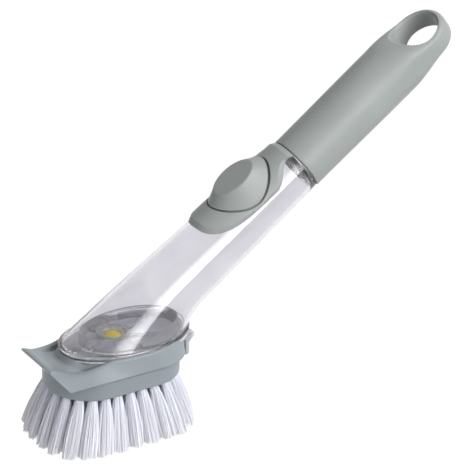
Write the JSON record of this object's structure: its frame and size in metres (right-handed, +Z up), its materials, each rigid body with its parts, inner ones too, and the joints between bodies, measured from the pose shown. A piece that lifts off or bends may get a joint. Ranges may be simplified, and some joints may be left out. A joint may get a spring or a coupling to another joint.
{
  "type": "dish wand",
  "caption": "Soap dispensing dish wand with a clear tank, a pump button, a grip that screws off as the filler cap, and a latched brush head with a scraping lip.",
  "frame": {"origin": "middle of the overall box at the level of the counter", "axes": "+X from the brush to the grip's end, +Y across the wand, +Z up, in its resting pose on the brush's rear tips and the grip's underside"},
  "size_m": [0.3169, 0.0694, 0.101],
  "materials": {
    "clear_plastic": "clear moulded, polished",
    "grey_plastic": "moulded, satin",
    "yellow_silicone": "moulded silicone",
    "clear_silicone": "moulded silicone",
    "nylon_bristle": "drawn nylon filament, trimmed flat",
    "steel": "drawn stainless steel"
  },
  "bodies": {
    "wand": {"tank": "clear_plastic", "base_plate": "clear_plastic", "outlet_valve": "yellow_silicone", "valve_ring": "clear_plastic", "foot_gasket": "clear_silicone", "scraper_shell": "grey_plastic", "brush_block": "grey_plastic", "outer_tufts": "nylon_bristle", "middle_tufts": "nylon_bristle", "inner_tufts": "nylon_bristle", "tuft_anchors": "steel", "latch_pin": "steel", "latch_spring": "steel", "button_bezel": "grey_plastic", "diaphragm": "clear_silicone", "diaphragm_ring": "grey_plastic"},
    "button": {"button": "grey_plastic"},
    "latch": {"latch": "clear_plastic"},
    "washer": {"neck_washer": "clear_silicone"},
    "grip": {"grip": "grey_plastic", "grip_cap": "grey_plastic"}
  },
  "joints": [
    {"name": "button_press", "type": "slide", "parent": "wand", "child": "button", "axis": [-0.247, 0, -0.969], "range_m": [0, 0.002], "stiffness_N_per_m": 1200, "springref_m": -0.0005},
    {"name": "latch_release", "type": "hinge", "parent": "wand", "child": "latch", "pos_m": [-0.06262, 0, 0.03042], "axis": [0, -1, 0], "range_deg": [0, 28], "stiffness_Nm_per_rad": 0.02, "springref_deg": -11.46},
    {"name": "grip_rise", "type": "slide", "parent": "wand", "child": "washer", "axis": [0.9751, 0, -0.2216], "range_m": [0, 0.006]},
    {"name": "grip_turn", "type": "hinge", "parent": "washer", "child": "grip", "pos_m": [0.04566, 0, 0.03208], "axis": [0.9751, 0, -0.2216], "range_deg": [0, 360]}
  ],
  "couplings": [
    {"joint": "grip_rise", "follows": "grip_turn", "m_per_rad": 0.00095483}
  ]
}
